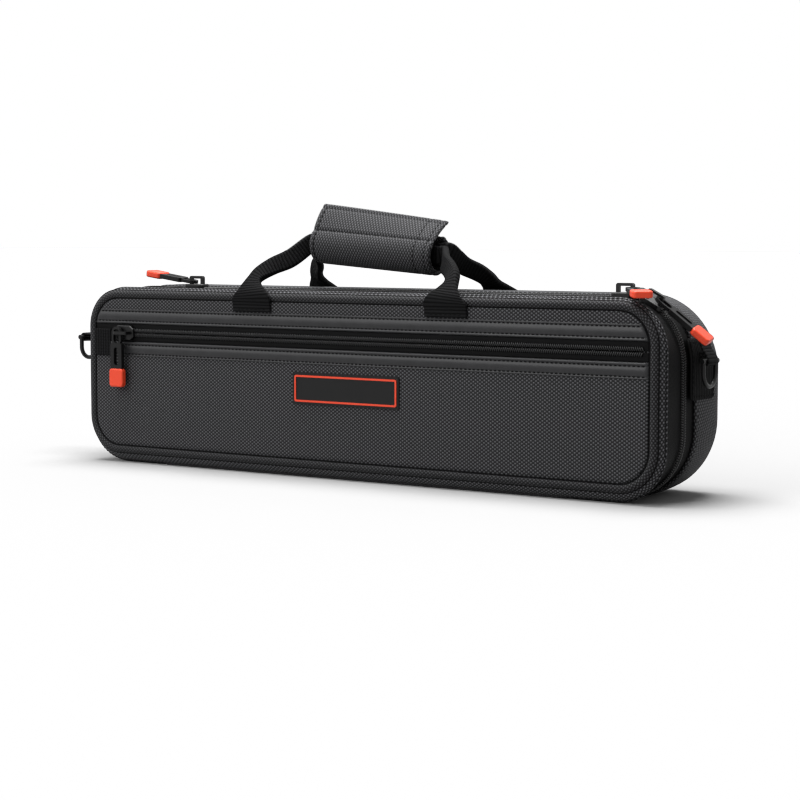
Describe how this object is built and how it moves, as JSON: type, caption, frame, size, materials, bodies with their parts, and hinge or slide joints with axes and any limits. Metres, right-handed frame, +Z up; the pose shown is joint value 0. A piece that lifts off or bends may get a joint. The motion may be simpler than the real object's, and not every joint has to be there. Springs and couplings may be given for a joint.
{
  "type": "flute case",
  "caption": "Soft zippered carrying case for a flute: long rounded box of two padded trays, front pocket, wrapped double-strap handle and rings for a shoulder strap.",
  "frame": {"origin": "on the surface it stands on, under the middle of the body", "axes": "+X along its length to its right, +Y to its rear, +Z up"},
  "size_m": [0.4847, 0.0892, 0.168],
  "materials": {
    "woven_cover": "coarse woven polyester",
    "smooth_trim": "smooth synthetic leather",
    "piping": "woven tape over a cord",
    "foam": "closed foam",
    "plush": "short plush",
    "zip_tape": "ribbed zipper tape",
    "zip_teeth": "satin nylon",
    "webbing": "ribbed webbing",
    "black_metal": "satin black",
    "black_rubber": "satin",
    "orange_rubber": "satin",
    "grip_fabric": "coarse woven polyester, padded"
  },
  "bodies": {
    "base": {"rear_tray": "foam", "rear_cover": "woven_cover", "rear_panel": "woven_cover", "rear_piping": "piping", "rear_lining": "plush", "bed_base": "plush", "bed_upper_wall": "plush", "bed_middle_wall": "plush", "bed_lower_wall": "plush", "bed_upper_left_end": "plush", "bed_upper_right_end": "plush", "bed_lower_left_end": "plush", "bed_lower_right_end": "plush", "bed_divider": "plush", "rear_zip_tape": "zip_tape", "rear_zip_teeth": "zip_teeth", "hinge_gusset": "woven_cover", "rear_handle_strap": "webbing", "grip_back": "grip_fabric", "left_ring_patch": "webbing", "left_ring_loop": "webbing", "right_ring_patch": "webbing", "right_ring_loop": "webbing"},
    "lid": {"front_tray": "foam", "front_cover": "woven_cover", "front_piping": "piping", "front_lining": "plush", "lid_pad": "plush", "front_zip_tape": "zip_tape", "front_zip_teeth": "zip_teeth", "front_top_strip": "woven_cover", "pocket_panel": "woven_cover", "pocket_upper_trim": "smooth_trim", "pocket_lower_trim": "smooth_trim", "pocket_upper_tape": "zip_tape", "pocket_lower_tape": "zip_tape", "pocket_zip_teeth": "zip_teeth", "pocket_garage": "webbing", "label_patch": "black_rubber", "label_frame": "orange_rubber", "front_handle_strap": "webbing"},
    "grip_flap": {"grip_flap": "grip_fabric"},
    "left_ring": {"left_d_ring": "black_metal"},
    "right_ring": {"right_d_ring": "black_metal"},
    "slider_1": {"slider_1": "black_metal"},
    "slider_2": {"slider_2": "black_metal"},
    "slider_3": {"slider_3": "black_metal"},
    "pocket_slider": {"pocket_slider": "black_metal"},
    "pull_1": {"pull_1_stem": "black_rubber", "pull_1_tip": "orange_rubber"},
    "pull_2": {"pull_2_stem": "black_rubber", "pull_2_tip": "orange_rubber"},
    "pull_3": {"pull_3_stem": "black_rubber", "pull_3_tip": "orange_rubber"},
    "pocket_pull": {"pocket_pull_stem": "black_rubber", "pocket_pull_tip": "orange_rubber"}
  },
  "joints": [
    {"name": "lid_hinge", "type": "hinge", "parent": "base", "child": "lid", "pos_m": [0, -0.014, 0], "axis": [1, 0, 0], "range_deg": [0, 170], "deforming": ["hinge_gusset"]},
    {"name": "grip_flap_hinge", "type": "hinge", "parent": "base", "child": "grip_flap", "pos_m": [-0.00095, -0.00177, 0.12896], "axis": [0.9969, 0, -0.0785], "range_deg": [0, 55]},
    {"name": "left_ring_swing", "type": "hinge", "parent": "base", "child": "left_ring", "pos_m": [-0.254, 0.006, 0.079], "axis": [0, 1, 0], "range_deg": [-60, 120]},
    {"name": "right_ring_swing", "type": "hinge", "parent": "base", "child": "right_ring", "pos_m": [0.2202, 0.006, 0.079], "axis": [0, -1, 0], "range_deg": [-5, 150]},
    {"name": "slider_1_slide", "type": "slide", "parent": "base", "child": "slider_1", "axis": [1, 0, 0], "range_m": [-0.06, 0]},
    {"name": "slider_2_slide", "type": "hinge", "parent": "base", "child": "slider_2", "pos_m": [0.177, -0.014, 0.078], "axis": [0, 1, 0], "range_deg": [0, 16]},
    {"name": "slider_3_slide", "type": "slide", "parent": "base", "child": "slider_3", "axis": [1, 0, 0], "range_m": [-0.02, 0.06]},
    {"name": "pocket_slide", "type": "slide", "parent": "lid", "child": "pocket_slider", "axis": [1, 0, 0], "range_m": [0, 0.34]},
    {"name": "pull_1_swing", "type": "hinge", "parent": "slider_1", "child": "pull_1", "pos_m": [0.1816, -0.014, 0.11925], "axis": [0.0335, -0.0441, 0.9985], "range_deg": [-30, 4]},
    {"name": "pull_2_lift", "type": "hinge", "parent": "slider_2", "child": "pull_2", "pos_m": [0.19803, -0.0145, 0.11417], "axis": [0.1593, -0.9781, -0.1336], "range_deg": [0, 80]},
    {"name": "pull_3_lift", "type": "hinge", "parent": "slider_3", "child": "pull_3", "pos_m": [-0.14043, -0.014, 0.1188], "axis": [0, 1, 0], "range_deg": [0, 140]},
    {"name": "pocket_pull_swing", "type": "hinge", "parent": "pocket_slider", "child": "pocket_pull", "pos_m": [-0.1826, -0.04385, 0.0857], "axis": [0, 1, 0], "range_deg": [-30, 30]}
  ]
}
